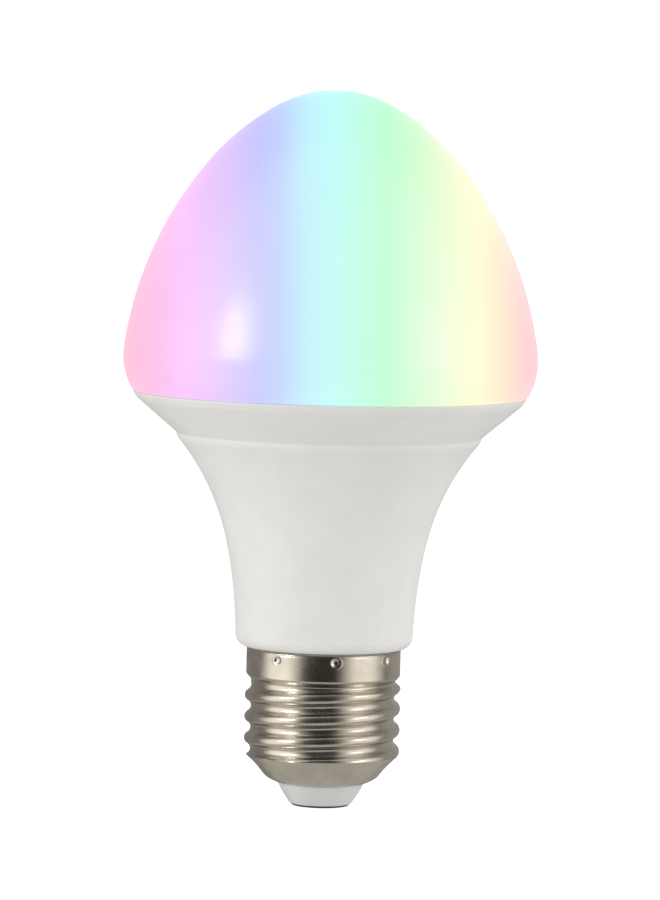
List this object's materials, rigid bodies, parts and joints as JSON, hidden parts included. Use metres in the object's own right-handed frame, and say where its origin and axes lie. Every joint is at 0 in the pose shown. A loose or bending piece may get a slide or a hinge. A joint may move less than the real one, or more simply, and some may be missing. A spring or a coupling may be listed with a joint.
{
  "type": "smart light bulb",
  "caption": "Colour-changing smart LED bulb: opal acorn dome on a flared white housing with an Edison screw cap, with its LED board, radio board and driver inside.",
  "frame": {"origin": "underside of the centre contact, on the bulb's axis", "axes": "+Z along the axis from the cap to the top of the dome; +X and +Y across it, with the driver board lying in the XZ plane"},
  "size_m": [0.0697, 0.0698, 0.1204],
  "materials": {
    "dome": "translucent opal, satin gloss",
    "silicone": "soft white",
    "housing": "satin moulded white",
    "aluminium": "spun",
    "thermal_pad": "soft grey",
    "led_board": "white solder mask",
    "led_package": "moulded white",
    "phosphor": "yellow phosphor gel",
    "led_window": "clear resin over chips",
    "zinc_steel": "zinc plated",
    "socket_plastic": "moulded natural nylon",
    "pin_metal": "gold flash",
    "black_plastic": "moulded black",
    "radio_board": "dark blue solder mask",
    "shield": "tin plated sheet",
    "copper": "bare copper",
    "sleeve_plastic": "natural white",
    "driver_board": "green solder mask",
    "capacitor_sleeve": "dark blue heat-shrink sleeve",
    "capacitor_black": "black heat-shrink sleeve",
    "film_capacitor": "yellow case",
    "ferrite": "dark grey ferrite",
    "winding_tape": "polyester tape",
    "magnet_wire": "enamelled copper",
    "resistor": "painted ceramic",
    "varistor": "epoxy dipped",
    "smd": "chip parts",
    "solder": "bright solder",
    "wire_red": "insulated lead",
    "wire_white": "insulated lead",
    "nickel": "nickel plated sheet",
    "insulator": "light grey moulding",
    "contact_metal": "tarnished plated brass"
  },
  "bodies": {
    "root": {"diffuser_dome": "dome", "dome_seal": "silicone", "housing": "housing", "heat_sink_cup": "aluminium", "mounting_plate": "aluminium", "thermal_pad": "thermal_pad", "led_board": "led_board", "white_leds": "led_package", "white_led_phosphors": "phosphor", "colour_leds": "led_package", "colour_led_windows": "led_window", "led_board_screws": "zinc_steel", "board_socket": "socket_plastic", "driver_pins": "pin_metal", "pin_header": "black_plastic", "radio_board": "radio_board", "radio_shield": "shield", "radio_chip": "black_plastic", "radio_antenna": "copper", "radio_pins": "pin_metal", "driver_sleeve": "sleeve_plastic", "driver_board": "driver_board", "rectifier": "black_plastic", "driver_chip": "black_plastic", "input_capacitor": "capacitor_sleeve", "output_capacitor": "capacitor_black", "film_capacitor": "film_capacitor", "transformer_core": "ferrite", "transformer_bobbin": "black_plastic", "transformer_winding": "winding_tape", "choke_core": "ferrite", "choke_winding": "magnet_wire", "fusible_resistor": "resistor", "varistor": "varistor", "smd_parts": "smd", "solder_joints": "solder", "live_wire": "wire_red", "neutral_wire": "wire_white", "screw_shell": "nickel", "base_insulator": "insulator", "centre_contact": "contact_metal"}
  },
  "joints": []
}
